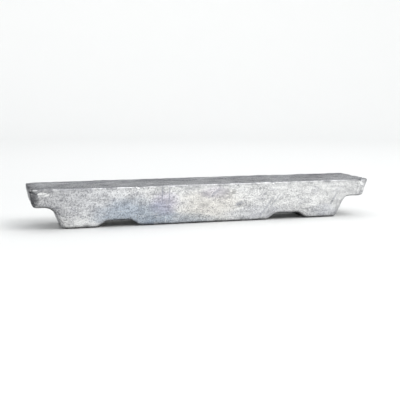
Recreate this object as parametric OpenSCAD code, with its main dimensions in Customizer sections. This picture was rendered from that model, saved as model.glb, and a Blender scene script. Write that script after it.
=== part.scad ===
// Cast ingot: one solid bar poured in an open mould. The long sides and the ends
// are drafted, an ear overhangs each end for lifting, and two grooves cross the
// underside for banding. It lies on its narrow face, with the open face up.
// Frame: X along the ingot, Y across it, Z up from the resting face.

/* [Ingot] */
// Overall length along the open face, over both ears
ingot_length = 600; // [560:5:700]
// Overall width across the open face
ingot_width = 110; // [96:1:140]
// Height from the resting face to the open face
ingot_height = 70; // [62:1:84]
// Draft of the long sides, in degrees from upright
side_draft = 16; // [8:0.5:20]
// Radius on the edges below the rim
edge_radius = 7; // [4:0.5:10]
// Radius on the rim of the open face
rim_radius = 3; // [1:0.5:4]
// Radius on the upright corners, running out to nothing under the ears
corner_radius = 6; // [3:0.5:9]

/* [Ears] */
// Length of the resting face, measured to its sharp corners
base_length = 494; // [446:4:518]
// Thickness of each ear
ear_thickness = 32; // [28:1:40]
// Draft of the ear tips, in degrees from upright
ear_draft = 11; // [4:1:15]
// Draft of the end walls under the ears, in degrees from upright
end_draft = 21; // [14:1:28]
// Fillet between an ear and the end wall under it
root_fillet = 17; // [8:1:24]

/* [Grooves] */
// Distance between the middle lines of the two grooves
groove_spacing = 304; // [240:4:340]
// Width of each groove where it opens on the resting face
groove_mouth = 74; // [60:1:90]
// Width of each groove at its floor
groove_floor = 42; // [30:1:52]
// Depth of each groove
groove_depth = 10.5; // [7:0.5:16]
// Fillet along both sides of each groove's floor
groove_fillet = 10; // [2:0.5:12]

/* [Hidden] */
// Facets of a full turn on edges and fillets
$fn = 48;
// Facets of a full turn on the upright corners
corner_facets = 32;
// What a cutting shape stands clear of the faces that it must not cut
clearance = 0.02;
ear_floor = ingot_height - ear_thickness;
root_height = ear_floor - root_fillet * tan((90 - end_draft) / 2);

// Half size at the rim, before its edge is rounded, that leaves the stated size after
function sharp_half(size, draft) =
    size / 2 + rim_radius * (1 / tan((90 - draft) / 2) - 1);

// Half sizes at a height: across the long sides, over the ears and over the end walls
function side_half(z) = sharp_half(ingot_width, side_draft) - (ingot_height - z) * tan(side_draft);
function ear_half(z) = sharp_half(ingot_length, ear_draft) - (ingot_height - z) * tan(ear_draft);
function wall_half(z) = base_length / 2 + z * tan(end_draft);

// Rounds the outer corners of an outline
module round_outside(radius) {
    offset(r = radius)
        offset(delta = -radius)
            children();
}

// Fills the inner corners of an outline
module round_inside(radius) {
    offset(r = -radius)
        offset(delta = radius)
            children();
}

// Rounds the corners of an outline that stands above the rim, and trims it to the rim
module rimmed() {
    round_outside(rim_radius)
        intersection() {
            round_outside(edge_radius)
                children();
            translate([-ingot_length, 0])
                square([2 * ingot_length, ingot_height]);
        }
}

// Outline from a lower half size to an upper one
module drafted_outline(lower_half, lower, upper_half, upper) {
    polygon([
        [-upper_half, upper],
        [upper_half, upper],
        [lower_half, lower],
        [-lower_half, lower]
    ]);
}

// Section of one groove, carried on below the resting face
module groove_outline() {
    reach = groove_mouth - groove_floor / 2;
    round_outside(groove_fillet)
        polygon([
            [-reach, -groove_depth],
            [reach, -groove_depth],
            [groove_floor / 2, groove_depth],
            [-groove_floor / 2, groove_depth]
        ]);
}

// Side view: the deep part and the ears in one outline, less the grooves
module side_outline() {
    above = ingot_height + 2 * edge_radius;
    rimmed()
        difference() {
            round_inside(root_fillet) {
                drafted_outline(ear_half(ear_floor), ear_floor, ear_half(above), above);
                drafted_outline(wall_half(0), 0, wall_half(above), above);
            }
            for (side = [-1, 1])
                translate([side * groove_spacing / 2, 0])
                    groove_outline();
        }
}

// Cross section, the same all along
module cross_outline() {
    above = ingot_height + 2 * edge_radius;
    rimmed()
        drafted_outline(side_half(0), 0, side_half(above), above);
}

// Thin plate with rounded corners, at a height
module corner_plate(half_length, half_width, radius, z) {
    translate([0, 0, z])
        linear_extrude(height = clearance)
            offset(r = radius, $fn = corner_facets)
                square([half_length - radius + clearance, half_width - radius + clearance] * 2, center = true);
}

// Envelope that rounds the ears' upright corners, and those of the end walls below them
module corner_envelope() {
    above = ingot_height + edge_radius;
    below = -edge_radius;
    hull() {
        corner_plate(ear_half(root_height), side_half(root_height), corner_radius, root_height);
        corner_plate(ear_half(above), side_half(above), corner_radius, above);
    }
    hull() {
        corner_plate(wall_half(below), side_half(below), corner_radius, below);
        corner_plate(wall_half(root_height), side_half(root_height), clearance, root_height);
    }
}

// The side view run across and the cross section run along, where they meet inside the envelope
module ingot() {
    color("silver")
        intersection() {
            rotate([90, 0, 0])
                linear_extrude(height = 2 * ingot_width, center = true)
                    side_outline();
            rotate([90, 0, 90])
                linear_extrude(height = 2 * ingot_length, center = true)
                    cross_outline();
            corner_envelope();
        }
}

ingot();
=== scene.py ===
"""Looks of the cast tin ingot: its as-cast body, its bright mottled skin and the studio around it."""

import logging
import math
from dataclasses import dataclass, fields
from enum import Enum
from typing import Any, Callable, Optional, Union

import bmesh
import bpy
import numpy as np
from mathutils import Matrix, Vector


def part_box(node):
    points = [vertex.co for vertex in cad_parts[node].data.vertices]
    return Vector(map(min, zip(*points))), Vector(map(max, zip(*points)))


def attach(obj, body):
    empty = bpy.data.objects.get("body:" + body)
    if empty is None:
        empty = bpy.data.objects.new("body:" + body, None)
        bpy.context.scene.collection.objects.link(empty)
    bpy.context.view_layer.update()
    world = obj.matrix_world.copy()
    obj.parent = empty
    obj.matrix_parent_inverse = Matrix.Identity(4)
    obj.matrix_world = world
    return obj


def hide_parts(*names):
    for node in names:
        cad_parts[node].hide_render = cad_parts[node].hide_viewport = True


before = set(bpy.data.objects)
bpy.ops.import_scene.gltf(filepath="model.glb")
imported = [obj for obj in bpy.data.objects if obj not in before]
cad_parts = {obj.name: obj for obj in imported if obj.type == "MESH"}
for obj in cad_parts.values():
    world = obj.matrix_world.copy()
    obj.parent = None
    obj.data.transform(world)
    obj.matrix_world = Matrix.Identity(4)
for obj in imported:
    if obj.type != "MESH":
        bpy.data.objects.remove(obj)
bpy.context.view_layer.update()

log = logging.getLogger("ingot")

NODE = "ingot"
BODY = "root"
MM = 0.001
WEIGHT_LEVELS = 20

Colour = tuple[float, float, float, float]
Triple = tuple[float, float, float]
Span = tuple[float, float]

DULL: Colour = (0.38, 0.38, 0.39, 1.0)
BRIGHT: Colour = (0.94, 0.94, 0.93, 1.0)
GLANCE: Colour = (0.55, 0.55, 0.57, 1.0)
FROST: Colour = (0.74, 0.74, 0.78, 1.0)
GUNMETAL: Colour = (0.62, 0.63, 0.65, 1.0)
# Painted shade along the edges.
EDGE_SHADOW: Colour = (0.44, 0.44, 0.46, 1.0)
PIT: Colour = (0.10, 0.10, 0.10, 1.0)
# Dark grime colour; also the painted shade under the ingot and in its inner corners.
SOIL_AND_SHADOW: Colour = (0.12, 0.12, 0.12, 1.0)
STEEL_BLUE: Colour = (0.57, 0.65, 0.75, 1.0)
LAVENDER: Colour = (0.78, 0.75, 0.86, 1.0)
CREAM: Colour = (1.00, 0.97, 0.92, 1.0)
BEIGE: Colour = (0.80, 0.74, 0.66, 1.0)
# Painted shade: darkens places that get less light.
PAINTED_SHADOW: Colour = (0.55, 0.55, 0.57, 1.0)
# Deep painted shade for the ends of the ears.
DEEP_PAINTED_SHADOW: Colour = (0.11, 0.11, 0.12, 1.0)
# Bluish haze; over the left of the front it is painted shade.
BLUE_MIST_AND_SHADOW: Colour = (0.81, 0.82, 0.86, 1.0)
# Dark streaks; also the painted shade over a dent.
STRIPE_AND_SHADOW: Colour = (0.30, 0.31, 0.36, 1.0)
# Fresh bright metal of scratches, also used for painted glints and sparkle.
CLEAN_METAL_AND_GLINT: Colour = (1.00, 1.00, 0.99, 1.0)


class Side(Enum):
    """The two long sides, or both with the ends between them."""

    FRONT = -1
    BACK = 1
    ROUND = 0


class Region(Enum):
    """Parts of the ingot's skin that are roughened each in their own way."""

    FREE = "above_the_floor"
    OPEN = "open_face"
    MOULD = "mould_faces"
    EDGE = "worn_edges"


class Trace(Enum):
    """Point attributes that the finish reads."""

    WEAR = "edge_wear"
    CAVITY = "cavity"
    OPEN = "open_skin"
    UNDER = "underside"


class Element(Enum):
    """Kinds of mesh elements, by Blender's names."""

    POINT = "VERT"
    EDGE = "EDGE"
    FACE = "FACE"


class Blend(Enum):
    """Ways to mix two colours, by Blender's names."""

    MIX = "MIX"
    MULTIPLY = "MULTIPLY"


def ramp(values: np.ndarray, low: float, high: float) -> np.ndarray:
    """Straight rise of each value, from 0 at the low end to 1 at the high end."""
    return np.clip((values - low) / (high - low), 0.0, 1.0)


class Bench:
    """One mesh object on the bench, shaped with Blender's own tools."""

    def __init__(self, name: str) -> None:
        """Adds a unit cube, alone in the selection.

        Args:
            name: Name of the finished piece.
        """
        bpy.ops.object.select_all(action="DESELECT")
        bpy.ops.mesh.primitive_cube_add(size=1.0)
        self.piece = bpy.context.object
        self.piece.name = name
        self.piece.data.name = name

    def apply_place(self) -> None:
        """Writes the object's place and size into its mesh."""
        bpy.ops.object.transform_apply(location=True, rotation=True, scale=True)

    def edit(self) -> None:
        """Opens the mesh for editing."""
        bpy.ops.object.mode_set(mode="EDIT")

    def close(self) -> None:
        """Leaves edit mode."""
        bpy.ops.object.mode_set(mode="OBJECT")

    def select(self, kind: Element, test: Callable[[Any], bool]) -> None:
        """Selects the elements that pass a test, and nothing else.

        Args:
            kind: Kind of element to select.
            test: Says whether an element is wanted.
        """
        bpy.ops.mesh.select_mode(type=kind.value)
        bpy.ops.mesh.select_all(action="DESELECT")
        mesh = bmesh.from_edit_mesh(self.piece.data)
        elements = {Element.POINT: mesh.verts, Element.EDGE: mesh.edges, Element.FACE: mesh.faces}
        for element in elements[kind]:
            if test(element):
                element.select_set(True)
        mesh.select_flush_mode()
        bmesh.update_edit_mesh(self.piece.data)

    def select_nearest(self, at: Vector) -> None:
        """Selects the one point nearest to a place.

        Args:
            at: The place, in metres.
        """
        bpy.ops.mesh.select_mode(type=Element.POINT.value)
        bpy.ops.mesh.select_all(action="DESELECT")
        mesh = bmesh.from_edit_mesh(self.piece.data)
        min(mesh.verts, key=lambda point: (point.co - at).length_squared).select_set(True)
        bmesh.update_edit_mesh(self.piece.data)

    def cut(self, at: Triple, across: Triple) -> None:
        """Cuts a line of edges right round the mesh, in a plane given by a point and its normal."""
        bpy.ops.mesh.select_all(action="SELECT")
        bpy.ops.mesh.bisect(plane_co=at, plane_no=across)

    def modify(self, kind: str, **settings: Any) -> None:
        """Adds one modifier and applies it.

        Args:
            kind: Blender's name of the modifier's type.
            **settings: Values for the modifier's properties.
        """
        bpy.ops.object.modifier_add(type=kind)
        modifier = self.piece.modifiers[-1]
        for key, value in settings.items():
            setattr(modifier, key, value)
        bpy.ops.object.modifier_apply(modifier=modifier.name)

    def weigh(self, region: Region, weights: np.ndarray) -> None:
        """Stores one weight per point as a vertex group.

        Args:
            region: Part of the skin that the weights mark.
            weights: Weights from 0 to 1, in the order of the points.
        """
        group = self.piece.vertex_groups.new(name=region.value)
        levels = np.round(weights * WEIGHT_LEVELS).astype(int)
        for level in range(1, WEIGHT_LEVELS + 1):
            group.add(np.flatnonzero(levels == level).tolist(), level / WEIGHT_LEVELS, "REPLACE")

    def trace(self, trace: Trace, values: np.ndarray) -> None:
        """Stores one number per point, in the order of the points, for the finish to read."""
        attribute = self.piece.data.attributes.new(trace.value, "FLOAT", "POINT")
        attribute.data.foreach_set("value", np.ascontiguousarray(values, dtype=np.float32))

    def rows(self, collection: Any, key: str) -> np.ndarray:
        """Reads one vector from each item of a list.

        Args:
            collection: The list, as Blender keeps it.
            key: Name of the vector in an item.

        Returns:
            Rows of x, y and z.
        """
        flat = np.empty(len(collection) * 3, dtype=np.float32)
        collection.foreach_get(key, flat)
        return flat.reshape(-1, 3).astype(float)

    def points(self) -> np.ndarray:
        """All points of the mesh as rows of x, y and z."""
        return self.rows(self.piece.data.vertices, "co")

    def normals(self) -> np.ndarray:
        """All point normals as rows of x, y and z."""
        return self.rows(self.piece.data.vertex_normals, "vector")

    def bulge(self, rounds: int) -> np.ndarray:
        """How far each point stands proud of the points round it.

        Args:
            rounds: How many rings of neighbours are levelled out to tell.

        Returns:
            Metres of bulge, positive on outer edges and negative in inner corners.
        """
        mesh = self.piece.data
        ends = np.empty(len(mesh.edges) * 2, dtype=np.int32)
        mesh.edges.foreach_get("vertices", ends)
        start, stop = ends.reshape(-1, 2).T
        points = self.points()
        total = len(points)
        count = np.bincount(start, minlength=total) + np.bincount(stop, minlength=total)

        def spread(values: np.ndarray) -> np.ndarray:
            """Averages each point's neighbours.

            Args:
                values: One row per point.

            Returns:
                The averages, row by row.
            """
            columns = [
                np.bincount(start, column[stop], total) + np.bincount(stop, column[start], total)
                for column in values.T
            ]
            return np.stack(columns, axis=1) / count[:, None]

        level = points
        for _ in range(rounds):
            level = spread(level)
        bulge = np.einsum("ij,ij->i", points - level, self.normals())
        return spread(spread(bulge[:, None]))[:, 0]


class Sock:
    """A socket's value in a shader, on which sums can be written as on numbers."""

    def __init__(self, sheet: "Sheet", socket: Any) -> None:
        """Wraps one output socket of a node sheet."""
        self.sheet = sheet
        self.socket = socket

    def _math(self, operation: str, *values: Any) -> "Sock":
        """Result of one Math node on numbers or sockets, in order."""
        return self.sheet.node("ShaderNodeMath", {"operation": operation}, dict(enumerate(values)))

    def __add__(self, other: Any) -> "Sock":
        """Sum of both."""
        return self._math("ADD", self, other)

    __radd__ = __add__

    def __sub__(self, other: Any) -> "Sock":
        """This less the other."""
        return self._math("SUBTRACT", self, other)

    def __rsub__(self, other: Any) -> "Sock":
        """The other less this."""
        return self._math("SUBTRACT", other, self)

    def __mul__(self, other: Any) -> "Sock":
        """Product of both."""
        return self._math("MULTIPLY", self, other)

    __rmul__ = __mul__

    def step(self, low: float, high: float) -> "Sock":
        """Smooth step from 0 at one value to 1 at another."""
        return self.sheet.node(
            "ShaderNodeMapRange",
            {"interpolation_type": "SMOOTHSTEP"},
            {"Value": self, "From Min": low, "From Max": high, "To Min": 0.0, "To Max": 1.0},
        )


@dataclass(frozen=True)
class Pattern:
    """One cloudy pattern in the skin.

    Attributes:
        scale: Features per metre along X, Y and Z.
        detail: Number of finer layers.
        roughness: Weight of the finer layers.
        lean: Turn of the pattern about Y, in radians.
        shift: Shift of the pattern along X, Y and Z, in features.
        band: Levels of the pattern that give 0 and 1 where it is used as a mask.
    """

    scale: Triple
    detail: float
    roughness: float
    lean: float = 0.0
    shift: Triple = (0.0, 0.0, 0.0)
    band: Span = (0.0, 1.0)


class Sheet:
    """A material's node sheet."""

    MIX_SHARE = 0
    MIX_FIRST = 6
    MIX_SECOND = 7
    MIX_RESULT = 2

    def __init__(self, name: str) -> None:
        """Starts a material with a bare sheet.

        Args:
            name: Name of the material.
        """
        self.material = bpy.data.materials.new(name)
        self.material.use_nodes = True
        self.tree = self.material.node_tree
        self.tree.nodes.clear()

    def node(
        self,
        kind: str,
        settings: dict[str, Any],
        inputs: dict[Union[str, int], Any],
        output: Union[str, int] = 0,
    ) -> Sock:
        """Adds one node.

        Args:
            kind: Blender's name of the node's type.
            settings: Properties of the node, set first.
            inputs: Values or links by the socket's name or number.
            output: Name or number of the socket that is wanted.

        Returns:
            The wanted output.
        """
        made = self.tree.nodes.new(kind)
        for key, value in settings.items():
            setattr(made, key, value)
        for key, value in inputs.items():
            if isinstance(value, Sock):
                self.tree.links.new(value.socket, made.inputs[key])
            else:
                made.inputs[key].default_value = value
        return Sock(self, made.outputs[output])

    def place(self) -> Sock:
        """Place on the piece, in metres."""
        return self.node("ShaderNodeTexCoord", {}, {}, "Object")

    def parts(self, vector: Sock) -> tuple[Sock, Sock, Sock]:
        """Splits a vector.

        Args:
            vector: Vector to split.

        Returns:
            Its three numbers.
        """
        split = self.node("ShaderNodeSeparateXYZ", {}, {0: vector}).socket.node
        first, second, third = (Sock(self, output) for output in split.outputs)
        return first, second, third

    def noise(self, place: Sock, pattern: Pattern) -> Sock:
        """Cloudy noise, mostly between 0.3 and 0.7.

        Args:
            place: Place on the piece.
            pattern: Pattern to draw.

        Returns:
            The noise.
        """
        mapped = self.node("ShaderNodeMapping", {}, {
            "Vector": place,
            "Scale": pattern.scale,
            "Rotation": (0.0, pattern.lean, 0.0),
            "Location": pattern.shift,
        })
        return self.node("ShaderNodeTexNoise", {}, {
            "Vector": mapped,
            "Scale": 1.0,
            "Detail": pattern.detail,
            "Roughness": pattern.roughness,
        })

    def mask(self, place: Sock, pattern: Pattern) -> Sock:
        """Patches of a pattern, from 0 to 1."""
        return self.noise(place, pattern).step(*pattern.band)

    def warped(self, vector: Sock, scale: float, size: float) -> Sock:
        """Shakes a place about, so that a pattern on it turns ragged.

        Args:
            vector: Place to start from.
            scale: Shakes per metre.
            size: How far it is shaken, in metres.

        Returns:
            The shaken place.
        """
        inputs = {"Vector": vector, "Scale": scale, "Detail": 1.0}
        shake = self.node("ShaderNodeTexNoise", {}, inputs, "Color")
        settings = {"operation": "MULTIPLY_ADD"}
        return self.node("ShaderNodeVectorMath", settings, {0: shake, 1: (size, size, size), 2: vector})

    def cells(self, vector: Sock, scale: float) -> Sock:
        """Distance from points scattered so many to the metre, in steps of their spacing."""
        return self.node("ShaderNodeTexVoronoi", {}, {"Vector": vector, "Scale": scale}, "Distance")

    def mix(self, share: Any, first: Any, second: Any, blend: Blend = Blend.MIX) -> Sock:
        """Mixes two colours.

        Args:
            share: Share of the second colour.
            first: First colour.
            second: Second colour.
            blend: Way to mix them.

        Returns:
            The mixed colour.
        """
        settings = {"data_type": "RGBA", "blend_type": blend.value, "clamp_factor": True}
        inputs = {self.MIX_SHARE: share, self.MIX_FIRST: first, self.MIX_SECOND: second}
        return self.node("ShaderNodeMix", settings, inputs, self.MIX_RESULT)

    def trace(self, trace: Trace) -> Sock:
        """Reads one of the piece's own attributes."""
        return self.node("ShaderNodeAttribute", {"attribute_name": trace.value}, {}, "Fac")

    def finish(self, **inputs: Any) -> Any:
        """Ends the sheet with one Principled shader.

        Args:
            **inputs: Values or links of its sockets, with _ for a space.

        Returns:
            The material.
        """
        named = {key.replace("_", " "): value for key, value in inputs.items()}
        shader = self.node("ShaderNodeBsdfPrincipled", {}, named)
        end = self.tree.nodes.new("ShaderNodeOutputMaterial")
        self.tree.links.new(shader.socket, end.inputs["Surface"])
        return self.material


@dataclass(frozen=True)
class Skin:
    """Values over the skin that several layers of the finish share.

    Attributes:
        place: Place on the piece, in metres.
        x: Place along the ingot, in metres.
        y: Place across it, in metres.
        z: Height over the resting face, in metres.
        wear: How much of an outer edge each place is.
        cavity: How much of an inner corner each place is.
        under: How much each place faces down.
        open: How much of the open face's skin each place has.
        cloud: Soft patches, round 0.
        sheen: Leaning streaks of painted sheen, round 0, also in the relief.
        speckle: Grain of the mould, round 0 and strongest on the front.
        calm: The same grain on the open face alone.
        blotch: Frosted blotches.
        pits: Small pits.
        scratch: Fine scratches.
    """

    place: Sock
    x: Sock
    y: Sock
    z: Sock
    wear: Sock
    cavity: Sock
    under: Sock
    open: Sock
    cloud: Sock
    sheen: Sock
    speckle: Sock
    calm: Sock
    blotch: Sock
    pits: Sock
    scratch: Sock


@dataclass(frozen=True)
class Weights:
    """How much each value of the skin counts in a sum.

    Attributes:
        base: Number that the sum starts from, and the others are weights of the skin's values.
    """

    base: float = 0.0
    speckle: float = 0.0
    calm: float = 0.0
    cloud: float = 0.0
    sheen: float = 0.0
    blotch: float = 0.0
    pits: float = 0.0
    scratch: float = 0.0
    wear: float = 0.0
    cavity: float = 0.0
    under: float = 0.0
    open: float = 0.0

    def over(self, skin: Skin) -> Sock:
        """Adds up the values of the skin.

        Args:
            skin: Values to add up.

        Returns:
            Their weighted sum.
        """
        total: Any = self.base
        for entry in fields(self):
            weight = getattr(self, entry.name)
            if entry.name != "base" and weight:
                total = total + getattr(skin, entry.name) * weight
        return total


@dataclass(frozen=True)
class Layer:
    """One layer of colour over the metal.

    Attributes:
        colour: Colour of the layer.
        mould: Its share on the faces that the mould shaped.
        open: Its share on the open face.
        blend: Way that it is mixed in.
        pattern: Pattern that it shows in, where it has one of its own.
    """

    colour: Colour
    mould: float
    open: float
    blend: Blend = Blend.MIX
    pattern: Optional[Pattern] = None


@dataclass(frozen=True)
class Tint:
    """One soft patch on a long side: most are oxide colour, some are painted shade.

    Attributes:
        x: Middle of the patch along the ingot, in millimetres.
        z: Middle of the patch over the resting face, in millimetres.
        reach: Half length and half height of the patch, in millimetres.
        colour: What the metal's colour is multiplied by.
        share: Strength of the patch.
        side: Long side that it is on.
    """

    x: float
    z: float
    reach: Span
    colour: Colour
    share: float
    side: Side = Side.FRONT


@dataclass(frozen=True)
class Mark:
    """One mark on the front: a scratch, streak or fresh knock, a painted glint, or painted shade.

    Attributes:
        x: Middle of the mark along the ingot, in millimetres.
        z: Middle of the mark over the resting face, in millimetres.
        reach: Half length and half breadth of the mark, in millimetres.
        lean: Turn of its length from level, in radians.
        colour: Colour of the mark.
        share: Strength of the mark.
    """

    x: float
    z: float
    reach: Span
    lean: float
    colour: Colour
    share: float


@dataclass(frozen=True)
class TinFinish:
    """As-cast tin: bright grey, frosted by its mould and tinted by a thin skin of oxide.

    Attributes:
        cloud: Soft patches of tone.
        sheen: Leaning streaks of painted sheen.
        grain: Grain of the mould.
        coarse: Patches in which the grain is strong.
        coarse_run: Places along the ingot between which the grain grows strong.
        grain_left: Share of the grain that shows away from the front.
        grain_run: Places across the ingot between which the front's grain sets in.
        blotch: Frosted blotches.
        scoring: Two directions of fine scratches.
        pit_spacing: Pits per metre, at most.
        pit_shake: Shakes per metre of a pit's outline, and their size in metres.
        pit_band: Distances from a pit's middle that give 0 and 1.
        pit_cloud: Levels of the soft patches between which pits set in.
        brightness: Tone of the bare metal, from dull to bright.
        roughness: Roughness of the skin.
        relief: Height of the skin's fine relief.
        relief_strength: Strength of that relief.
        relief_depth: Depth of that relief, in metres.
        under_and_corner_shadow: Share of painted shade on downward faces and in inner corners.
        frost: Frost in the blotches.
        drips: Dull upright drips.
        pitting: Dark floors of the pits.
        scored: Bright scratches.
        open_skin: Darker skin of the open face.
        smears: Dark smears along the open face.
        glosses: Painted glossy highlight in streaks along the open face.
        rim_shadow: Painted shade along the edges.
        rubbed_rim_and_highlight: Metal rubbed bright along the edges, also a painted highlight on them.
        side_run: Distances from the middle plane between which a long side sets in.
        tint_edge: Ragged edge of the tints.
        tint_ragged: How ragged that edge is.
        tint_band: Distances from a tint's middle that give 0 and 1.
        mark_edge: Ragged edge of the marks.
        mark_ragged: How ragged that edge is.
        mark_band: Distances from a mark's middle that give 0 and 1.
        tints: Patches of oxide colour and of painted shade.
        marks: Scratches, streaks and fresh knocks, with painted glints and painted shade.
    """

    cloud: Pattern = Pattern((30.0, 30.0, 30.0), 4.0, 0.6)
    sheen: Pattern = Pattern((45.0, 45.0, 160.0), 3.0, 0.6, 0.6)
    grain: Pattern = Pattern((390.0, 390.0, 390.0), 2.0, 0.6)
    coarse: Pattern = Pattern((16.0, 16.0, 16.0), 2.0, 0.5, band=(0.38, 0.62))
    coarse_run: Span = (0.16, -0.22)
    grain_left: float = 0.4
    grain_run: Span = (-10 * MM, -30 * MM)
    blotch: Pattern = Pattern((49.6, 49.6, 93.0), 4.0, 0.7, 0.5, band=(0.52, 0.66))
    scoring: tuple[Pattern, Pattern] = (
        Pattern((26.0, 26.0, 700.0), 1.0, 0.4, 0.12, band=(0.70, 0.78)),
        Pattern((26.0, 26.0, 700.0), 1.0, 0.4, -0.7, (4.3, 4.3, 0.0), (0.70, 0.78)),
    )
    pit_spacing: float = 75.0
    pit_shake: Span = (300.0, 5 * MM)
    pit_band: Span = (0.17, 0.08)
    pit_cloud: Span = (0.0, 0.12)
    # The tone carries painted sheen in leaning streaks.
    brightness: Weights = Weights(0.62, speckle=2.6, calm=-1.8, cloud=1.15, sheen=1.5)
    roughness: Weights = Weights(
        0.26, speckle=-0.8, blotch=0.06, pits=0.2, scratch=-0.1, wear=0.32, open=-0.06
    )
    relief: Weights = Weights(speckle=0.7, cloud=0.5, sheen=0.2, pits=-0.3, scratch=-0.12)
    relief_strength: float = 0.6
    relief_depth: float = 1.2 * MM
    # Painted shade on downward faces and in inner corners.
    under_and_corner_shadow: Weights = Weights(under=0.8, cavity=0.55)
    frost: Layer = Layer(FROST, 0.5, 0.2, Blend.MULTIPLY)
    drips: Layer = Layer(
        DULL, 0.3, 0.0, pattern=Pattern((120.0, 120.0, 5.0), 2.0, 0.5, band=(0.60, 0.74))
    )
    pitting: Layer = Layer(PIT, 0.5, 0.2)
    scored: Layer = Layer(BRIGHT, 0.5, 0.5)
    open_skin: Layer = Layer(GUNMETAL, 0.0, 0.8, Blend.MULTIPLY)
    smears: Layer = Layer(
        SOIL_AND_SHADOW, 0.0, 0.6, pattern=Pattern((9.0, 34.0, 34.0), 5.0, 0.65, band=(0.46, 0.62))
    )
    # Painted glossy highlight in streaks along the open face.
    glosses: Layer = Layer(
        BRIGHT, 0.0, 0.5,
        pattern=Pattern((14.0, 46.0, 46.0), 4.0, 0.65, shift=(3.1, 0.0, 0.0), band=(0.53, 0.66)),
    )
    # Painted shade along the edges.
    rim_shadow: Layer = Layer(EDGE_SHADOW, 0.75, 0.75, Blend.MULTIPLY)
    # Metal rubbed bright along the edges, also a painted highlight.
    rubbed_rim_and_highlight: Layer = Layer(
        BRIGHT, 0.5, 0.5, pattern=Pattern((70.0, 70.0, 70.0), 3.0, 0.6, band=(0.50, 0.62))
    )
    side_run: Span = (10 * MM, 25 * MM)
    tint_edge: Pattern = Pattern((22.0, 22.0, 50.0), 4.0, 0.65, 0.25)
    tint_ragged: float = 1.6
    tint_band: Span = (1.5, 0.0)
    mark_edge: Pattern = Pattern((300.0, 300.0, 300.0), 3.0, 0.65)
    mark_ragged: float = 3.6
    mark_band: Span = (1.3, 0.3)
    tints: tuple[Tint, ...] = (
        Tint(-128, 20, (70, 30), STEEL_BLUE, 0.8),
        Tint(-50, 5, (74, 15), STEEL_BLUE, 0.5),
        Tint(-76, 38, (28, 20), LAVENDER, 0.85),
        Tint(5, 34, (62, 28), CREAM, 0.8),
        Tint(95, 14, (64, 16), BLUE_MIST_AND_SHADOW, 0.7),
        Tint(12, 54, (24, 12), LAVENDER, 0.6),
        # Painted shade over the front of the left ear.
        Tint(-268, 52, (64, 40), PAINTED_SHADOW, 0.7),
        # Painted shade darkening the left of the front, with a bluish cast.
        Tint(-190, 46, (80, 40), BLUE_MIST_AND_SHADOW, 0.55),
        Tint(222, 12, (34, 14), BLUE_MIST_AND_SHADOW, 0.8),
        # Painted shade on the ends of both ears, deepest at the left tip.
        Tint(-306, 50, (22, 60), DEEP_PAINTED_SHADOW, 0.92, Side.ROUND),
        Tint(306, 50, (10, 60), DEEP_PAINTED_SHADOW, 0.6, Side.ROUND),
        Tint(130, 24, (70, 24), STEEL_BLUE, 0.7, Side.BACK),
        Tint(30, 40, (60, 26), BEIGE, 0.7, Side.BACK),
        Tint(-150, 20, (90, 22), BEIGE, 0.8, Side.BACK),
        Tint(-40, 14, (50, 16), LAVENDER, 0.7, Side.BACK),
        # Painted shade near the right end of the back.
        Tint(258, 50, (46, 30), PAINTED_SHADOW, 0.7, Side.BACK),
    )
    marks: tuple[Mark, ...] = (
        Mark(-80, 54, (20, 1.3), 1.57, STRIPE_AND_SHADOW, 0.7),
        Mark(-68, 54, (19, 1.2), 1.57, STRIPE_AND_SHADOW, 0.6),
        Mark(-72, 8, (9, 0.9), 1.57, CLEAN_METAL_AND_GLINT, 0.5),
        Mark(112, 28, (24, 2.2), 1.0, STRIPE_AND_SHADOW, 0.45),
        Mark(124, 34, (20, 1.6), 1.0, STRIPE_AND_SHADOW, 0.4),
        Mark(12, 53, (16, 2.6), 0.75, STRIPE_AND_SHADOW, 0.45),
        # Painted shade over a dent, and below it the dent's painted highlight.
        Mark(58, 32, (8, 4.0), 0.3, STRIPE_AND_SHADOW, 0.6),
        Mark(60, 24, (7, 2.2), 0.2, CLEAN_METAL_AND_GLINT, 0.95),
        Mark(196, 25, (14, 1.0), 0.05, CLEAN_METAL_AND_GLINT, 0.8),
        Mark(186, 21, (9, 0.8), 0.1, CLEAN_METAL_AND_GLINT, 0.6),
        # Painted glint at the left ear.
        Mark(-280, 63, (8, 1.8), 0.05, CLEAN_METAL_AND_GLINT, 0.9),
        Mark(-272, 60, (5, 1.6), 0.3, CLEAN_METAL_AND_GLINT, 0.7),
        Mark(-284, 59, (3, 1.4), 0.8, CLEAN_METAL_AND_GLINT, 0.5),
        # Painted glint at the right ear's upper corner.
        Mark(288, 62, (5, 2.6), -0.6, CLEAN_METAL_AND_GLINT, 0.9),
        Mark(236, 32, (13, 2.4), 1.2, STRIPE_AND_SHADOW, 0.5),
        # Painted sparkle along the left foot.
        Mark(-216, 11, (16, 6.0), 0.1, CLEAN_METAL_AND_GLINT, 0.7),
        Mark(-196, 7, (14, 4.0), -0.1, CLEAN_METAL_AND_GLINT, 0.75),
    )

    def material(self) -> Any:
        """Builds the finish, layer over layer.

        Returns:
            The material.
        """
        sheet = Sheet("as_cast_tin")
        skin = self.skin(sheet)
        colour = sheet.mix(self.brightness.over(skin), DULL, BRIGHT)
        colour = self.lay(sheet, skin, colour, self.frost, skin.blotch)
        colour = self.tinted(sheet, skin, colour)
        colour = self.lay(sheet, skin, colour, self.drips)
        colour = self.lay(sheet, skin, colour, self.pitting, skin.pits)
        colour = self.lay(sheet, skin, colour, self.scored, skin.scratch)
        colour = self.marked(sheet, skin, colour)
        for layer in (self.open_skin, self.smears, self.glosses):
            colour = self.lay(sheet, skin, colour, layer)
        # Painted shade on downward faces and in inner corners.
        colour = sheet.mix(self.under_and_corner_shadow.over(skin), colour, SOIL_AND_SHADOW)
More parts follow.
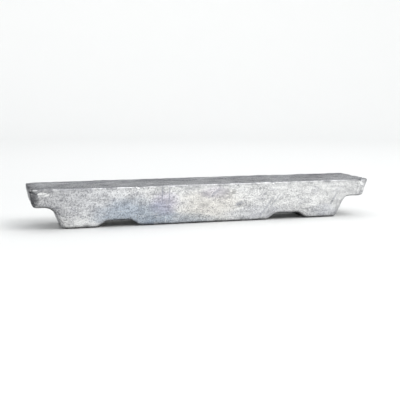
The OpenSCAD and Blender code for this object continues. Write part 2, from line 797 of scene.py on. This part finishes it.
        # Painted shade along the edges, then rubbed metal with a painted highlight.
        for layer in (self.rim_shadow, self.rubbed_rim_and_highlight):
            colour = self.lay(sheet, skin, colour, layer, skin.wear)
        bump = sheet.node("ShaderNodeBump", {}, {
            "Strength": self.relief_strength,
            "Distance": self.relief_depth,
            "Height": self.relief.over(skin),
        })
        return sheet.finish(
            Base_Color=colour,
            Roughness=self.roughness.over(skin),
            Normal=bump,
            Metallic=1.0,
            Specular_Tint=GLANCE,
        )

    def skin(self, sheet: Sheet) -> Skin:
        """Draws the values that the layers share.

        Args:
            sheet: Sheet to add to.

        Returns:
            The values.
        """
        place = sheet.place()
        x, y, z = sheet.parts(place)
        open_face = sheet.trace(Trace.OPEN)
        cloud = sheet.noise(place, self.cloud) - 0.5
        coarse = (sheet.mask(place, self.coarse) + x.step(*self.coarse_run)) * 0.5
        grain = sheet.noise(place, self.grain) - 0.5
        speckle = grain * (self.grain_left + y.step(*self.grain_run) * coarse)
        ragged = sheet.warped(place, *self.pit_shake)
        pits = sheet.cells(ragged, self.pit_spacing).step(*self.pit_band) * cloud.step(*self.pit_cloud)
        level, steep = (sheet.mask(place, pattern) for pattern in self.scoring)
        return Skin(
            place=place,
            x=x,
            y=y,
            z=z,
            wear=sheet.trace(Trace.WEAR),
            cavity=sheet.trace(Trace.CAVITY),
            under=sheet.trace(Trace.UNDER),
            open=open_face,
            cloud=cloud,
            sheen=sheet.noise(place, self.sheen) - 0.5,
            speckle=speckle,
            calm=speckle * open_face,
            blotch=sheet.mask(place, self.blotch),
            pits=pits,
            scratch=level + steep,
        )

    def lay(self, sheet: Sheet, skin: Skin, colour: Sock, layer: Layer, where: Any = 1.0) -> Sock:
        """Lays one layer over a colour.

        Args:
            sheet: Sheet to add to.
            skin: Values over the skin.
            colour: Colour under the layer.
            layer: Layer to lay.
            where: How much of it each place may take.

        Returns:
            The colour with the layer on it.
        """
        share = (layer.mould + skin.open * (layer.open - layer.mould)) * where
        if layer.pattern:
            share = share * sheet.mask(skin.place, layer.pattern)
        return sheet.mix(share, colour, layer.colour, layer.blend)

    def on_side(self, skin: Skin, side: Side) -> Any:
        """Where one long side is, or everywhere."""
        return 1.0 if side is Side.ROUND else (skin.y * side.value).step(*self.side_run)

    def tinted(self, sheet: Sheet, skin: Skin, colour: Sock) -> Sock:
        """Lays the oxide's patches and the patches of painted shade over the metal.

        Args:
            sheet: Sheet to add to.
            skin: Values over the skin.
            colour: Colour of the bare metal.

        Returns:
            The tinted colour.
        """
        edge = (sheet.noise(skin.place, self.tint_edge) - 0.5) * self.tint_ragged
        sides = {side: self.on_side(skin, side) for side in Side}
        for tint in self.tints:
            along = (skin.x - tint.x * MM) * (1 / (tint.reach[0] * MM))
            up = (skin.z - tint.z * MM) * (1 / (tint.reach[1] * MM))
            away = along * along + up * up + edge
            mask = away.step(*self.tint_band) * sides[tint.side] * tint.share
            colour = sheet.mix(mask, colour, tint.colour, Blend.MULTIPLY)
        return colour

    def marked(self, sheet: Sheet, skin: Skin, colour: Sock) -> Sock:
        """Draws the scratches, streaks and fresh knocks on the front, with the painted glints and
        painted shade.

        Args:
            sheet: Sheet to add to.
            skin: Values over the skin.
            colour: Colour without them.

        Returns:
            The colour with them.
        """
        edge = (sheet.noise(skin.place, self.mark_edge) - 0.5) * self.mark_ragged
        front = self.on_side(skin, Side.FRONT)
        for mark in self.marks:
            east, up = skin.x - mark.x * MM, skin.z - mark.z * MM
            cosine, sine = math.cos(mark.lean), math.sin(mark.lean)
            along = (east * cosine + up * sine) * (1 / (mark.reach[0] * MM))
            across = (up * cosine - east * sine) * (1 / (mark.reach[1] * MM))
            away = along * along + across * across + edge
            colour = sheet.mix(away.step(*self.mark_band) * front * mark.share, colour, mark.colour)
        return colour


@dataclass
class IngotShape:
    """Driving sizes of the ingot, in metres and radians.

    Attributes:
        length: Overall length over both ears.
        width: Overall width of the open face.
        height: Height from the resting face to the open face.
        side_draft: Lean of the long sides.
        ear_draft: Lean of the ears' tips.
        end_draft: Lean of the end walls under the ears.
        base_length: Length of the resting face, to its sharp corners.
        ear_thickness: Thickness of each ear.
        left_root_fillet: Fillet under the left ear.
        right_root_fillet: Fillet under the right ear.
        rim_radius: Radius of the open face's rim.
        edge_radius: Radius of the edges below the rim.
        groove_spacing: Distance between the grooves' middle lines.
        groove_mouth: Width of a groove where it opens.
        groove_floor: Width of a groove at its floor.
        groove_depth: Depth of a groove.
    """

    length: float
    width: float
    height: float
    side_draft: float = math.radians(16)
    ear_draft: float = math.radians(11)
    end_draft: float = math.radians(21)
    base_length: float = 494 * MM
    ear_thickness: float = 32 * MM
    left_root_fillet: float = 20 * MM
    right_root_fillet: float = 6 * MM
    rim_radius: float = 3 * MM
    edge_radius: float = 7 * MM
    groove_spacing: float = 304 * MM
    groove_mouth: float = 74 * MM
    groove_floor: float = 42 * MM
    groove_depth: float = 10.5 * MM

    @classmethod
    def from_frame(cls) -> "IngotShape":
        """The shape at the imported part's overall size."""
        low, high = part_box(NODE)
        return cls(high[0] - low[0], high[1] - low[1], high[2] - low[2])

    @property
    def ear_floor(self) -> float:
        """Height of the ears' undersides."""
        return self.height - self.ear_thickness

    @property
    def root(self) -> float:
        """Distance from the middle to the corner where an ear leaves its end wall."""
        return self.base_length / 2 + self.ear_floor * math.tan(self.end_draft)

    def rim_half(self, size: float, draft: float) -> float:
        """Half size at the rim, before its edge is rounded, that leaves the stated size after."""
        turn = (math.pi / 2 - draft) / 2
        return size / 2 + self.rim_radius * (1 / math.tan(turn) - 1)

    def half_width(self, z: float) -> float:
        """Half of the ingot's width at a height over the resting face."""
        return self.rim_half(self.width, self.side_draft) - (self.height - z) * math.tan(self.side_draft)


@dataclass(frozen=True)
class Relief:
    """One pass of unevenness over the skin.

    Attributes:
        region: Part of the skin that it works on.
        grain: Size of its features, in millimetres.
        depth: Difference between its lowest and highest places, in millimetres.
        stretch: How much longer the features are along X, Y and Z.
        contrast: How sharply the pattern steps from low to high.
        middle: Level of the pattern that leaves the skin where it is.
    """

    region: Region
    grain: float
    depth: float
    stretch: Triple = (1.0, 1.0, 1.0)
    contrast: float = 1.0
    middle: float = 0.5


@dataclass(frozen=True)
class Knock:
    """One knock in the skin.

    Attributes:
        x: Place along the ingot, in millimetres.
        z: Height over the resting face, in millimetres.
        push: Way along, in and up that the knock moves the skin, in millimetres.
        reach: Radius of the knock, in millimetres.
        side: Long side that took it.
    """

    x: float
    z: float
    push: Triple
    reach: float
    side: Side = Side.FRONT


@dataclass
class CastIngot:
    """The ingot's body, from a sharp block to its worn, uneven skin.

    Attributes:
        shape: Driving sizes.
        finish: Finish of the skin.
        voxel: Spacing of the fine mesh.
        hair: Slack for finding points and edges by their place.
        facing: Least part of a face's normal that makes it face a way.
        outer_turn: Least turn between two faces that makes their edge an outer one.
        fillet_steps: Segments of a fillet.
        edge_steps: Segments of a rounded edge.
        smooth_share: Strength of one round of smoothing.
        smooth_rounds: Rounds of smoothing.
        upward_run: Upward part of the normal between which the open face sets in.
        upward_from: Share of the height from which there is open face.
        downward_run: Downward part of the normal between which the underside sets in.
        fade_along: Share of the half length in which the open face's relief fades out.
        fade_across: Share of the half width in which it fades out.
        free_height: Height at which the skin is free of the floor.
        mould_height: Height at which the mould faces have all their relief.
        sink_depth: How far the open face sinks in its middle.
        edge_bulge: Bulge of a full edge.
        edge_rings: Rings of neighbours that tell an edge on the smooth mesh.
        wear_rings: Rings of neighbours that tell one on the finished mesh.
        relief_detail: Finer layers of each pass of unevenness.
        relief_shift: Shift from each pass to the next.
        reliefs: Passes of unevenness.
        knocks: Dents and chips.
    """

    shape: IngotShape
    finish: TinFinish = TinFinish()
    voxel: float = 1.75 * MM
    hair: float = 0.05 * MM
    facing: float = 0.5
    outer_turn: float = math.radians(45)
    fillet_steps: int = 10
    edge_steps: int = 5
    smooth_share: float = 0.5
    smooth_rounds: int = 7
    upward_run: Span = (0.6, 0.95)
    upward_from: float = 0.9
    downward_run: Span = (0.45, 0.9)
    fade_along: float = 1 / 30
    fade_across: float = 1 / 6
    free_height: float = 8 * MM
    mould_height: float = 3 * MM
    sink_depth: float = 2.4 * MM
    edge_bulge: float = 0.55 * MM
    edge_rings: int = 6
    wear_rings: int = 4
    relief_detail: int = 2
    relief_shift: Triple = (0.37, 0.21, 0.0)
    reliefs: tuple[Relief, ...] = (
        Relief(Region.FREE, 170, 1.8),
        Relief(Region.FREE, 45, 0.8),
        Relief(Region.MOULD, 12, 0.5, (2.0, 2.0, 1.0), 1.3),
        Relief(Region.MOULD, 5, 0.35, contrast=1.5),
        Relief(Region.OPEN, 26, 1.3, (2.4, 1.0, 1.0), 1.5),
        Relief(Region.OPEN, 9, 0.75, (2.2, 1.0, 1.0), 1.3),
        Relief(Region.EDGE, 20, 1.1, contrast=1.8, middle=0.8),
        Relief(Region.EDGE, 6, 0.6, contrast=1.5, middle=0.7),
    )
    knocks: tuple[Knock, ...] = (
        Knock(60, 27, (0.0, 2.2, 0.6), 9),
        Knock(49, 54, (0.0, 1.6, 0.0), 5),
        Knock(44, 54, (0.0, 1.2, 0.0), 4),
        Knock(235, 29, (0.0, 1.8, 0.0), 4.5),
        Knock(236, 35, (0.0, 1.4, 0.0), 4),
        Knock(289, 66, (-2.5, 3.0, -4.5), 10),
        Knock(280, 63, (0.0, 2.0, -1.0), 7),
        Knock(293, 52, (-2.0, 1.5, 0.0), 8),
        Knock(-278, 63, (0.0, 1.8, 0.8), 12),
        Knock(-120, 69, (0.0, 0.6, -1.2), 6),
        Knock(118, 69, (0.0, 0.8, -1.4), 7),
        Knock(-206, 4, (0.0, 1.0, 1.6), 7),
        Knock(20, 3, (0.0, 0.8, 1.2), 6),
        Knock(-190, 40, (0.0, 1.8, 0.0), 8, Side.BACK),
        Knock(88, 48, (0.0, 2.0, 0.0), 10, Side.BACK),
        Knock(150, 69, (0.0, 1.4, -1.2), 7, Side.BACK),
        Knock(-60, 69, (0.0, 0.8, -1.4), 6, Side.BACK),
        Knock(-299, 68, (3.0, 2.5, -3.0), 11, Side.BACK),
    )

    def build(self) -> Any:
        """Makes the body.

        Returns:
            The finished mesh object.
        """
        bench = Bench("ingot_body")
        self.block_out(bench)
        self.cut_grooves(bench)
        self.round_edges(bench)
        self.fine_mesh(bench)
        self.mark_skin(bench)
        self.roughen(bench)
        self.knock_about(bench)
        self.mark_wear(bench)
        bpy.ops.object.shade_smooth()
        return bench.piece

    def dress(self, piece: Any) -> None:
        """Gives the body its finish, hides the imported part that it replaces and hangs it on the body
        that it moves with.

        Args:
            piece: The finished mesh object.
        """
        piece.data.materials.clear()
        piece.data.materials.append(self.finish.material())
        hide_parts(NODE)
        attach(piece, BODY)

    def block_out(self, bench: Bench) -> None:
        """Shapes the deep part and draws the two ears out of its ends.

        Args:
            bench: Bench with a unit cube on it.
        """
        shape = self.shape
        bench.piece.location = (0.0, 0.0, shape.height / 2)
        bench.piece.scale = (shape.base_length, 2 * shape.half_width(0.0), shape.height)
        bench.apply_place()
        bench.edit()
        bench.select(Element.FACE, lambda face: face.normal.z > self.facing)
        deep_half = shape.base_length / 2 + shape.height * math.tan(shape.end_draft)
        bpy.ops.transform.resize(value=(
            2 * deep_half / shape.base_length,
            shape.half_width(shape.height) / shape.half_width(0.0),
            1.0,
        ))
        bench.cut((0.0, 0.0, shape.ear_floor), (0.0, 0.0, 1.0))
        tip = shape.rim_half(shape.length, shape.ear_draft)
        run = tip - deep_half
        lower_tip = tip - shape.ear_thickness * math.tan(shape.ear_draft)
        for side in (-1, 1):
            bench.select(Element.FACE, lambda face: (
                face.normal.x * side > self.facing and face.calc_center_median().z > shape.ear_floor
            ))
            bpy.ops.mesh.extrude_region_move(TRANSFORM_OT_translate={"value": (side * run, 0.0, 0.0)})
            bench.select(Element.POINT, lambda point: (
                point.co.x * side > shape.root + self.hair
                and abs(point.co.z - shape.ear_floor) < self.hair
            ))
            bpy.ops.transform.translate(value=(side * (lower_tip - shape.root - run), 0.0, 0.0))
        bench.close()

    def cut_grooves(self, bench: Bench) -> None:
        """Lifts two strips of the underside into grooves.

        Args:
            bench: Bench with the blocked-out ingot.
        """
        shape = self.shape
        wider = shape.half_width(shape.groove_depth) / shape.half_width(0.0)
        bench.edit()
        for side in (-1, 1):
            middle = side * shape.groove_spacing / 2
            for half in (shape.groove_mouth / 2, shape.groove_floor / 2):
                for end in (-1, 1):
                    bench.cut((middle + end * half, 0.0, 0.0), (1.0, 0.0, 0.0))
            bench.select(Element.POINT, lambda point: (
                abs(point.co.x - middle) < shape.groove_floor / 2 + self.hair
                and abs(point.co.z) < self.hair
            ))
            bpy.ops.transform.translate(value=(0.0, 0.0, shape.groove_depth))
            bpy.ops.transform.resize(value=(1.0, wider, 1.0))
        bench.close()

    def under_ear(self, edge: Any, side: int) -> bool:
        """Says whether an edge is the root of the ear on one side.

        Args:
            edge: Edge of the sharp ingot.
            side: -1 for the left ear and 1 for the right one.

        Returns:
            Whether it is.
        """
        first, last = (point.co for point in edge.verts)
        return first.y * last.y < 0 and all(
            abs(end.x * side - self.shape.root) < self.hair
            and abs(end.z - self.shape.ear_floor) < self.hair
            for end in (first, last)
        )

    def below_rim(self, edge: Any) -> bool:
        """Says whether an edge is an outer one below the rim.

        Args:
            edge: Edge of the ingot.

        Returns:
            Whether it is.
        """
        if min(point.co.z for point in edge.verts) > self.shape.height - self.hair:
            return False
        return edge.calc_face_angle_signed() > self.outer_turn

    def round_edges(self, bench: Bench) -> None:
        """Fills the corners under the ears and rounds the edges below the rim.

        Args:
            bench: Bench with the sharp ingot.
        """
        shape = self.shape
        root_turn = math.pi / 2 - shape.end_draft
        side_turn = math.pi / 2 - shape.side_draft
        bench.edit()
        for side, fillet in ((-1, shape.left_root_fillet), (1, shape.right_root_fillet)):
            bench.select(Element.EDGE, lambda edge: self.under_ear(edge, side))
            bpy.ops.mesh.bevel(
                offset=fillet * math.tan(root_turn / 2), segments=self.fillet_steps, affect="EDGES"
            )
        bench.select(Element.EDGE, self.below_rim)
        bpy.ops.mesh.bevel(
            offset=shape.edge_radius * math.tan(side_turn / 2), segments=self.edge_steps, affect="EDGES"
        )
        bench.close()

    def fine_mesh(self, bench: Bench) -> None:
        """Gives the ingot an even, fine mesh and eases what edges are left.

        Args:
            bench: Bench with the rounded ingot.
        """
        bench.modify("TRIANGULATE")
        bench.modify("REMESH", mode="VOXEL", voxel_size=self.voxel)
        bench.modify("SMOOTH", factor=self.smooth_share, iterations=self.smooth_rounds)

    def mark_skin(self, bench: Bench) -> None:
        """Tells the parts of the skin apart, and lets the open face sink as the metal shrinks.

        Args:
            bench: Bench with the fine mesh.
        """
        shape = self.shape
        points, normals = bench.points(), bench.normals()
        along, across = 2 * points[:, 0] / shape.length, 2 * points[:, 1] / shape.width
        height = points[:, 2]
        upward = ramp(normals[:, 2], *self.upward_run) * (height > shape.height * self.upward_from)
        inside = upward * ramp(1 - np.abs(along), 0.0, self.fade_along)
        inside *= ramp(1 - np.abs(across), 0.0, self.fade_across)
        bench.weigh(Region.FREE, ramp(height, 0.0, self.free_height))
        bench.weigh(Region.OPEN, inside)
        bench.weigh(Region.MOULD, (1 - upward) * ramp(height, 0.0, self.mould_height))
        bench.weigh(Region.EDGE, ramp(bench.bulge(self.edge_rings), 0.0, self.edge_bulge))
        bench.trace(Trace.OPEN, upward)
        bench.trace(Trace.UNDER, ramp(-normals[:, 2], *self.downward_run))
        bowl = (1 - across ** 2) * (1 - along ** 4)
        points[:, 2] -= self.sink_depth * np.clip(bowl, 0.0, 1.0) * inside
        bench.piece.data.vertices.foreach_set("co", points.astype(np.float32).ravel())
        bench.piece.data.update()

    def roughen(self, bench: Bench) -> None:
        """Runs every pass of unevenness over the skin.

        Args:
            bench: Bench with the marked mesh.
        """
        for number, relief in enumerate(self.reliefs):
            pattern = bpy.data.textures.new(f"relief_{number}", "CLOUDS")
            pattern.noise_scale = relief.grain * MM
            pattern.noise_depth = self.relief_detail
            pattern.contrast = relief.contrast
            bpy.ops.object.empty_add(location=[shift * number for shift in self.relief_shift])
            guide = bpy.context.object
            guide.scale = relief.stretch
            bpy.context.view_layer.update()
            bpy.ops.object.select_all(action="DESELECT")
            bpy.context.view_layer.objects.active = bench.piece
            bench.piece.select_set(True)
            bench.modify(
                "DISPLACE",
                texture=pattern,
                texture_coords="OBJECT",
                texture_coords_object=guide,
                strength=relief.depth * MM,
                mid_level=relief.middle,
                vertex_group=relief.region.value,
            )
            bpy.data.objects.remove(guide)
            bpy.data.textures.remove(pattern)

    def knock_about(self, bench: Bench) -> None:
        """Knocks the dents and chips of rough handling into the skin.

        Args:
            bench: Bench with the rough mesh.
        """
        bench.edit()
        for knock in self.knocks:
            side, z = knock.side.value, knock.z * MM
            bench.select_nearest(Vector((knock.x * MM, side * self.shape.half_width(z), z)))
            along, inward, up = (way * MM for way in knock.push)
            bpy.ops.transform.translate(
                value=(along, -side * inward, up),
                use_proportional_edit=True,
                proportional_edit_falloff="SMOOTH",
                proportional_size=knock.reach * MM,
            )
        bench.close()

    def mark_wear(self, bench: Bench) -> None:
        """Stores where the outer edges are, for wear and the rims' painted shade and highlight, and the
        inner corners, for painted shade.

        Args:
            bench: Bench with the finished mesh.
        """
        bulge = bench.bulge(self.wear_rings)
        bench.trace(Trace.WEAR, ramp(bulge, 0.0, self.edge_bulge))
        bench.trace(Trace.CAVITY, ramp(-bulge, 0.0, self.edge_bulge))


@dataclass(frozen=True)
class Softbox:
    """One soft light.

    Attributes:
        name: Name of the light.
        place: Where it hangs, in metres.
        size: Length of its sides, in metres.
        power: Its power, in watts.
        aim: Place that it faces, in metres, where that isn't the ingot.
    """

    name: str
    place: Triple
    size: float
    power: float
    aim: Optional[Triple] = None


@dataclass
class Studio:
    """Floor, lights and camera round the ingot, in metres and radians.

    Attributes:
        target: Middle of the ingot.
        azimuth: Turn of the camera round the ingot, from the front.
        elevation: Angle at which the camera looks down.
        distance: Distance of the camera.
        lens: Focal length of the camera, in millimetres.
        floor_radius: Radius of the level floor.
        floor_sides: Sides of its rim.
        floor_colour: Colour of the floor.
        floor_roughness: Roughness of the floor.
        sweep: Radius in which the floor sweeps up.
        sweep_steps: Steps of that sweep.
        softboxes: Soft lights.
        room_colour: Colour of the room's own light.
        room_strength: Strength of the room's own light.
    """

    target: Vector
    azimuth: float = math.radians(-15.7)
    elevation: float = math.radians(8.1)
    distance: float = 1.42
    lens: float = 72.0
    floor_radius: float = 2.2
    floor_sides: int = 128
    floor_colour: Colour = (0.84, 0.84, 0.83, 1.0)
    floor_roughness: float = 0.8
    sweep: float = 0.9
    sweep_steps: int = 10
    softboxes: tuple[Softbox, ...] = (
        Softbox("sky_softbox", (0.2, -0.2, 2.3), 3.6, 27.0),
        Softbox("key_softbox", (1.2, -1.5, 2.1), 1.7, 31.0),
        Softbox("wall_softbox", (0.3, 0.9, 2.4), 1.6, 15.0, (0.5, 3.0, 1.9)),
    )
    room_colour: Colour = (0.86, 0.88, 0.90, 1.0)
    room_strength: float = 0.8

    def build(self) -> None:
        """Makes all of it."""
        self.floor()
        self.lights()
        self.camera()

    def floor(self) -> None:
        """Lays a pale round floor whose rim sweeps up into a wall."""
        bpy.ops.object.select_all(action="DESELECT")
        bpy.ops.mesh.primitive_circle_add(
            vertices=self.floor_sides, radius=self.floor_radius, fill_type="NGON"
        )
        floor = bpy.context.object
        floor.name = "studio_floor"
        bpy.ops.object.mode_set(mode="EDIT")
        bpy.ops.mesh.select_mode(type=Element.EDGE.value)
        bpy.ops.mesh.select_all(action="SELECT")
        length = self.sweep * math.pi / 2 / self.sweep_steps
        radius = self.floor_radius
        for step in range(self.sweep_steps):
            turn = (step + 0.5) / self.sweep_steps * math.pi / 2
            grow = 1 + length * math.cos(turn) / radius
            radius *= grow
            bpy.ops.mesh.extrude_edges_move(
                TRANSFORM_OT_translate={"value": (0.0, 0.0, length * math.sin(turn))}
            )
            bpy.ops.transform.resize(value=(grow, grow, 1.0))
        bpy.ops.object.mode_set(mode="OBJECT")
        bpy.ops.object.shade_smooth()
        paint = Sheet("pale_floor").finish(Base_Color=self.floor_colour, Roughness=self.floor_roughness)
        floor.data.materials.append(paint)

    def lights(self) -> None:
        """Hangs the soft lights and sets the room's own light."""
        for softbox in self.softboxes:
            bpy.ops.object.light_add(type="AREA", location=softbox.place)
            light = bpy.context.object
            light.name = softbox.name
            light.data.size = softbox.size
            light.data.energy = softbox.power
            aim = Vector(softbox.aim) if softbox.aim else self.target
            light.rotation_euler = (aim - Vector(softbox.place)).to_track_quat("-Z", "Y").to_euler()
        world = bpy.data.worlds.new("room")
        world.use_nodes = True
        background = world.node_tree.nodes["Background"]
        background.inputs["Color"].default_value = self.room_colour
        background.inputs["Strength"].default_value = self.room_strength
        bpy.context.scene.world = world

    def camera(self) -> None:
        """Stands the camera at the photograph's viewing angle."""
        back = Vector((
            math.sin(self.azimuth) * math.cos(self.elevation),
            -math.cos(self.azimuth) * math.cos(self.elevation),
            math.sin(self.elevation),
        ))
        bpy.ops.object.camera_add(location=self.target + back * self.distance)
        camera = bpy.context.object
        camera.rotation_euler = (-back).to_track_quat("-Z", "Y").to_euler()
        camera.data.lens = self.lens
        bpy.context.scene.camera = camera
        bpy.context.scene.view_settings.view_transform = "Standard"


def main() -> None:
    """Builds the ingot and its studio and reports the ingot's mesh."""
    logging.basicConfig(level=logging.INFO, format="%(message)s")
    shape = IngotShape.from_frame()
    ingot = CastIngot(shape)
    piece = ingot.build()
    ingot.dress(piece)
    log.info("%s: %d points, %d faces", piece.name, len(piece.data.vertices), len(piece.data.polygons))
    Studio(Vector((0.0, 0.0, shape.height / 2))).build()


if __name__ == "__main__":
    main()
